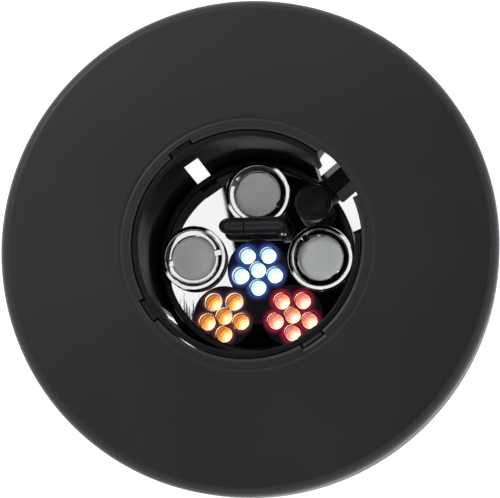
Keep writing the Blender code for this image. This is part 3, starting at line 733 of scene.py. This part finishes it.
def make_cover():
    """The bottom cover, with moulded rings round its middle and a pocket for each screw."""
    low, high = (z / MM for z in (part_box("bottom_cover")[0].z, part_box("bottom_cover")[1].z))
    section = [(0, high), (36.1, high, 0.3), (36.1, low, 0.6), (34.6, low, 0.2), (34.2, low + 0.5, 0.2)]
    section += [(33.4, low + 0.5, 0.2), (33.0, low, 0.2), (19.5, low, 0.2), (19.1, low + 0.5, 0.2)]
    section += [(17.9, low + 0.5, 0.2), (17.5, low, 0.2), (6.0, low, 0.2), (5.6, low + 0.4, 0.2)]
    section += [(0, low + 0.4)]
    cover = raw("base_cover", lathe(rounded(section, 3, closed=False), count=144, closed=False))
    cutter = bmesh.new()
    for number in (1, 2, 3):
        spot = middle(f"cover_screw_{number}")
        rod(cutter, spot.x, spot.y, 1.7 * MM, 0, 8 * MM, 32)
        rod(cutter, spot.x, spot.y, 2.9 * MM, 0, (low + 1.4) * MM, 32)
    carve(cover, cutter)
    dress(cover, SATIN, "bottom_cover")


# Transducers


def make_transducer(number):
    low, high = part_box(f"transducer_collar_{number}")
    centre = (low + high) / 2
    radius = (high.x - low.x) / 2 / MM
    top = high.z / MM
    foot = low.z / MM
    face = FACE_Z / MM
    inner = radius - 1.45
    section = [(radius - 0.2, top, 0.12), (radius, top - 0.3, 0.15)]
    section += [(radius, face + 0.3, 0.2), (COLLAR_STEM, face + 0.3), (COLLAR_STEM, foot, 0.2)]
    section += [(8.2, foot, 0.2), (8.2, face - 1.6), (inner, face - 1.6)]
    turns = 6
    pitch = (top - 0.5 - face - 0.2) / turns
    for turn in range(turns):
        base = face + 0.2 + pitch * turn
        section += [(inner, base), (inner, base + 0.25 * pitch), (inner + 0.3, base + 0.5 * pitch)]
        section += [(inner, base + 0.8 * pitch)]
    section += [(inner, top - 0.2, 0.06)]
    shape = lathe(rounded(section, 3), centre[:2], 120)
    piece(f"collar_{number}", shape, CHROME, f"transducer_collar_{number}", angle=28)

    low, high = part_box(f"ceramic_gasket_{number}")
    section = [(8.6, high.z / MM, 0.3), (10.6, high.z / MM, 0.3)]
    section += [(10.6, low.z / MM, 0.3), (8.6, low.z / MM, 0.3)]
    shape = lathe(rounded(section, 3), centre[:2], 72)
    piece(f"gasket_{number}", shape, RUBBER, f"ceramic_gasket_{number}")

    low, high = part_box(f"ceramic_disc_{number}")
    outer = (high.x - low.x) / 2 / MM
    section = [(0, high.z / MM), (outer, high.z / MM, 0.2), (outer, low.z / MM, 0.2), (0, low.z / MM)]
    shape = lathe(rounded(section, 3, closed=False), centre[:2], 72, closed=False)
    piece(f"ceramic_{number}", shape, CERAMIC, f"ceramic_disc_{number}")
    make_ring(number, centre)


def make_ring(number, centre):
    node = f"retaining_ring_{number}"
    low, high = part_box(node)
    outer = (high.x - low.x) / 2 / MM
    top = high.z / MM
    inner = RING_BORE
    section = [(inner, low.z / MM, 0.2), (outer, low.z / MM, 0.2), (outer, top, 0.25)]
    section += [(inner + 0.55, top, 0.15), (inner, top - 0.6, 0.15)]
    ring = raw(f"ring_{number}", lathe(rounded(section, 3), centre[:2], 144))
    cutter = bmesh.new()
    bottom = high.z - 1.1 * MM
    block(cutter, -14 * MM, 14 * MM, 2.4 * MM, bottom, high.z + MM, RING_NOTCHES[number - 1])
    bmesh.ops.translate(cutter, verts=cutter.verts, vec=(centre.x, centre.y, 0))
    carve(ring, cutter)
    soften(ring, 0.1 * MM, 50, 1)
    dress(ring, RING, node, f"{node}_body", 28)


# Lamps


def make_lamp(name, colour):
    low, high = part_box(name)
    centre = (low + high) / 2
    radius = (high.x - low.x) / 2 / MM
    tip = high.z / MM
    shoulder = tip - 2.6
    foot = low.z / MM
    section = [(0, tip)]
    for step in range(1, 13):
        turn = math.radians(90 - 90 * step / 12)
        section.append((radius * math.cos(turn), shoulder + 2.6 * math.sin(turn)))
    section += [(radius, foot, 0.2), (0, foot)]
    shape = lathe(rounded(section, 3, closed=False), centre[:2], 48, closed=False)
    piece(f"{name}_lens", shape, LENSES[colour], name, angle=60)

    cup = [(0, 0), (0.35, 0), (0.4, 0.05), (1.5, 1.1), (1.62, 1.1), (1.62, 0.6), (0.9, -1.2), (0, -1.2)]
    shape = lathe([(r * MM, z * MM) for r, z in cup], (0, 0), 32, closed=False)
    obj = raw(f"{name}_cup", shape)
    obj.location = (centre.x, centre.y, (tip - 6.0) * MM)
    dress(obj, CUPS[colour], angle=40)


# Cable outlet


def make_outlet():
    low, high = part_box("cable_elbow")
    top = high.z / MM
    radius = 7.3
    section = [(0, top - 0.25), (3.4, top - 0.15), (5.3, top, 0.3), (5.5, top - 0.3, 0.1)]
    section += [(5.8, top - 0.3, 0.1), (6.0, top - 0.1, 0.2), (radius, top - 0.5, 1.2), (radius, 34.0)]
    section += [(radius, 30.3, 0.4), (5.0, 30.3), (5.0, low.z / MM, 0.3), (0, low.z / MM)]
    shape = lathe(rounded(section, 5, closed=False), OUTLET[:2], 120, closed=False)
    elbow = raw("outlet_elbow", shape)

    spout = [(0, 1.0), (5.5, 1.0), (5.5, 8.3, 0.5), (4.6, 8.6)]
    for step in range(5):
        base = 8.9 + 0.8 * step
        spout += [(4.6, base), (4.3, base + 0.3), (4.6, base + 0.6)]
    spout += [(4.4, 12.9, 0.2), (3.6, 12.9, 0.2), (3.3, 9.8), (2.6, 9.4), (2.6, 2.0), (0, 2.0)]
    shape = lathe(rounded(spout, 3, closed=False), (0, 0), 72, closed=False)
    lay(shape)
    carve(elbow, shape, "UNION")
    dress(elbow, WALL, "cable_elbow", angle=30)

    low, high = 9.8, 13.8
    bush = [(2.3, low, 0.2), (3.3, low, 0.2), (3.3, high, 0.3), (2.3, high, 0.4)]
    shape = lathe(rounded(bush, 3), (0, 0), 48)
    lay(shape)
    piece("gland_bush", shape, RUBBER, "cable_bush")
    make_nut()


def lay(shape):
    """Lays a shape's +Z along the gland's axis."""
    spin = Matrix.Rotation(OUTLET_TURN, 4, "Z") @ Matrix.Rotation(math.pi / 2, 4, "Y")
    bmesh.ops.transform(shape, verts=shape.verts, matrix=Matrix.Translation(OUTLET) @ spin)


def along_gland(node):
    """The reach of a node's vertices along the gland's axis, in mm."""
    way = Vector((math.cos(OUTLET_TURN), math.sin(OUTLET_TURN), 0))
    reach = [(v.co - OUTLET).dot(way) for v in frame["nodes"][node].data.vertices]
    return min(reach) / MM, max(reach) / MM


def make_nut():
    """A hexagon nut with turned ends, whose chamfers cut its corners."""
    start, end = along_gland("gland_nut")
    flat = 6.0
    shape = bmesh.new()
    rows = []
    stations = 120
    profile = [(start, 6.2), (start + 0.4, 7.2), (end - 2.4, 7.2), (end - 1.2, 6.7)]
    profile += [(end - 0.3, 5.6), (end, 5.1)]
    bore = [(end, 3.6), (end - 0.8, 3.1), (14.5, 3.1), (14.1, 4.75), (start, 4.75)]
    for step in range(stations):
        angle = math.tau * step / stations
        sixth = (angle + math.pi / 6) % (math.pi / 3) - math.pi / 6
        hexagon = flat / math.cos(sixth)
        row = [(min(hexagon, limit), z) for z, limit in profile] + [(r, z) for z, r in bore]
        across, up = MM * math.cos(angle), MM * math.sin(angle)
        rows.append([shape.verts.new((r * across, r * up, z * MM)) for r, z in row])
    for i, row in enumerate(rows):
        ahead = rows[(i + 1) % stations]
        for j in range(len(row)):
            k = (j + 1) % len(row)
            shape.faces.new((row[j], row[k], ahead[k], ahead[j]))
    lay(shape)
    piece("gland_cap_nut", shape, WALL, "gland_nut", "gland_nut_body", angle=22)


# Level switch


def make_level_switch():
    pivot = LEVEL_PIVOT
    radius = (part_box("level_float_body")[1].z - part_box("level_float_body")[0].z) / 2 / MM
    seam = (pivot.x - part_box("level_float_body")[0].x) / MM
    nose = (pivot.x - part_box("level_float_cap")[0].x) / MM
    tail = (pivot.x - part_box("level_float_body")[1].x) / MM

    def lying(section, count=96):
        shape = lathe(rounded(section, 4, closed=False), (0, 0), count, closed=False)
        spin = Matrix.Translation(pivot) @ Matrix.Rotation(-math.pi / 2, 4, "Y")
        bmesh.ops.transform(shape, verts=shape.verts, matrix=spin)
        return shape

    body = [(0, tail + 0.6), (1.9, tail + 0.4, 0.5), (radius - 0.5, tail + 1.4, 0.9)]
    body += [(radius, tail + 3.2, 1.5), (radius, seam, 0.25), (0, seam)]
    capsule = raw("level_capsule", lying(body))
    dress(capsule, CAPSULE, "level_float_body", "level_float", 40)

    cap_low = (pivot.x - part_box("level_float_cap")[1].x) / MM
    cap = [(0, cap_low), (radius, cap_low, 0.2), (radius, 20.6, 0.2), (radius - 0.14, 20.8, 0.1)]
    cap += [(radius - 0.14, 21.1, 0.1)]
    shoulder = 21.3
    for step in range(0, 11):
        turn = math.radians(90 * step / 11)
        cap.append(((radius - 0.1) * math.cos(turn), shoulder + (nose - shoulder) * math.sin(turn)))
    cap.append((0, nose))
    capsule = raw("level_capsule_nose", lying(cap))
    dress(capsule, CAPSULE, "level_float_cap", "level_float", 40)


# Plain finishes for the CAD nodes that stay


def keep(node, finish):
    obj = frame["nodes"][node]
    obj.data.materials.clear()
    obj.data.materials.append(finish)


def board_green():
    """Solder mask over copper tracks."""
    made = Finish("board_green")
    tracks = made.cells(190, "DISTANCE_TO_EDGE")
    grain = made.noise(900, 2, 0.5)
    line = made.span(tracks, 0.03, 0.06)
    made.colour(made.mix(line, (0.03, 0.16, 0.07), (0.012, 0.085, 0.035)))
    made.rough(made.span(grain, 0.3, 0.7, 0.3, 0.45))
    made.bump(line, 0.03 * MM, 0.6)
    return made.material


def foam_white():
    made = Finish("foam_white")
    bubbles = made.cells(420)
    made.colour(made.mix(made.span(bubbles, 0.1, 0.6), (0.78, 0.77, 0.73), (0.62, 0.61, 0.57)))
    made.rough(made.span(bubbles, 0.1, 0.6, 0.8, 0.95))
    made.bump(bubbles, 0.3 * MM, 0.7)
    return made.material


def reed_glass():
    made = Finish("reed_glass", Transmission_Weight=0.9, IOR=1.5)
    film = made.noise(300, 2, 0.5)
    made.colour(made.mix(film, (0.70, 0.82, 0.76), (0.84, 0.92, 0.88)))
    made.rough(made.span(film, 0.3, 0.7, 0.03, 0.1))
    return made.material


def dress_cad():
    steel = chrome("screw_steel", 0.5, (0.16, 0.3))
    spring = mottled("spring_plated", (0.62, 0.58, 0.46), (0.78, 0.74, 0.62), (0.2, 0.32),
                     metallic=1.0, broad=300, fine=3000, relief=0.004).material
    iron = mottled("magnet_grey", (0.20, 0.20, 0.21), (0.34, 0.34, 0.35), (0.35, 0.5),
                   metallic=0.9, broad=400, fine=2500, relief=0.01).material
    board = board_green()
    for number in (1, 2, 3):
        keep(f"cover_screw_{number}", steel)
        keep(f"contact_spring_{number}", spring)
    keep("driver_board", board)
    keep("led_board", board)
    keep("float_foam_core", foam_white())
    keep("bottom_seal", RUBBER)
    keep("level_magnet", iron)
    keep("reed_switch", reed_glass())
    keep("hinge_pin", steel)
    keep("level_bracket", WALL)


# Stage


def make_floor():
    floor_shape = bmesh.new()
    bmesh.ops.create_grid(floor_shape, x_segments=1, y_segments=1, size=4.0)
    floor = raw("floor", floor_shape)
    floor.location.z = CAD_BOX[0][2] - 0.0002
    made = Finish("floor_white")
    paper = made.noise(60, 3, 0.5)
    made.colour(made.mix(paper, (0.80, 0.80, 0.80), (0.84, 0.84, 0.84)))
    made.rough(made.span(paper, 0.3, 0.7, 0.7, 0.8))
    made.shader.inputs["Emission Color"].default_value = (1, 1, 1, 1)
    made.shader.inputs["Emission Strength"].default_value = 0.75
    floor.data.materials.append(made.material)


def make_world():
    """An even white studio with a black patch overhead, which the mirror shows with a ragged edge."""
    world = bpy.data.worlds.new("studio")
    bpy.context.scene.world = world
    world.use_nodes = True
    tree = world.node_tree
    background = tree.nodes["Background"]

    def maths(operation, *values):
        node = tree.nodes.new("ShaderNodeMath")
        node.operation = operation
        for socket, value in zip(node.inputs, values):
            if isinstance(value, bpy.types.NodeSocket):
                tree.links.new(value, socket)
            else:
                socket.default_value = value
        return node.outputs[0]

    def above(value, edge, width):
        """0 below an edge and 1 above it, with a soft step."""
        node = tree.nodes.new("ShaderNodeMapRange")
        node.interpolation_type = "SMOOTHSTEP"
        tree.links.new(value, node.inputs[0])
        if isinstance(edge, bpy.types.NodeSocket):
            tree.links.new(maths("SUBTRACT", edge, width), node.inputs[1])
            tree.links.new(maths("ADD", edge, width), node.inputs[2])
        else:
            node.inputs[1].default_value = edge - width
            node.inputs[2].default_value = edge + width
        return node.outputs[0]

    coords = tree.nodes.new("ShaderNodeTexCoord")
    split = tree.nodes.new("ShaderNodeSeparateXYZ")
    tree.links.new(coords.outputs["Generated"], split.inputs[0])
    height = maths("MAXIMUM", split.outputs[2], 0.05)
    u = maths("DIVIDE", split.outputs[0], height)
    v = maths("DIVIDE", split.outputs[1], height)
    streak = tree.nodes.new("ShaderNodeTexNoise")
    streak.noise_dimensions = "1D"
    streak.inputs["Scale"].default_value = 850
    tree.links.new(u, streak.inputs["W"])
    slant = maths("MULTIPLY_ADD", v, -0.2, -0.100)
    ragged = maths("MULTIPLY_ADD", streak.outputs["Fac"], 0.05, 0.094)
    right = above(u, slant, 0.001)
    under = maths("SUBTRACT", 1.0, above(v, ragged, 0.001))
    patch = maths("MAXIMUM", right, under)
    for value, edge, sign in ((u, 0.42, 1), (v, 0.30, 1), (u, -0.30, -1), (v, -0.42, -1)):
        step = above(value, edge, 0.02)
        patch = maths("MULTIPLY", patch, maths("SUBTRACT", 1.0, step) if sign > 0 else step)
    patch = maths("MULTIPLY", patch, above(split.outputs[2], 0.3, 0.05))
    light = maths("MULTIPLY_ADD", patch, -0.9495, 0.95)
    shade_node = tree.nodes.new("ShaderNodeCombineColor")
    for socket, share in zip(shade_node.inputs, (0.985, 0.995, 1.0)):
        tree.links.new(maths("MULTIPLY", light, share), socket)
    tree.links.new(shade_node.outputs[0], background.inputs["Color"])
    background.inputs["Strength"].default_value = 1.0


def make_key():
    """A small round lamp from the back left."""
    data = bpy.data.lights.new("key", "AREA")
    data.shape = "DISK"
    data.size = 0.14
    data.energy = 1.5
    key = bpy.data.objects.new("key", data)
    key.location = (-0.55, 0.55, 0.75)
    key.rotation_euler = (Vector((0, 0, 0.05)) - Vector(key.location)).to_track_quat("-Z", "Y").to_euler()
    bpy.context.scene.collection.objects.link(key)


def make_camera():
    """Looks down into the hole, a little from the front right."""
    tilt = math.radians(11.013)
    azimuth = math.radians(-51.29)
    aim = Vector((1.767 * MM, -2.387 * MM, FLOAT_TOP))
    back = Vector((math.sin(tilt) * math.cos(azimuth), math.sin(tilt) * math.sin(azimuth), math.cos(tilt)))
    right = Vector((0, 1, 0)).cross(back).normalized()
    up = back.cross(right)
    spin = Matrix.Rotation(math.radians(-0.196), 3, back)
    right = spin @ right
    up = spin @ up
    data = bpy.data.cameras.new("camera")
    data.sensor_width = 36
    data.lens = 136.68
    data.clip_start = 0.01
    camera = bpy.data.objects.new("camera", data)
    turn = Matrix((right, up, back)).transposed().to_4x4()
    camera.matrix_world = Matrix.Translation(aim + back * 0.71437) @ turn
    bpy.context.scene.collection.objects.link(camera)
    bpy.context.scene.camera = camera


make_camera()
make_floor()
make_world()
make_key()
bpy.context.scene.view_settings.view_transform = "Standard"
make_float()
make_basket()
make_head()
for transducer in (1, 2, 3):
    make_transducer(transducer)
for led, led_colour in LEDS:
    make_lamp(led, led_colour)
make_outlet()
make_level_switch()
dress_cad()
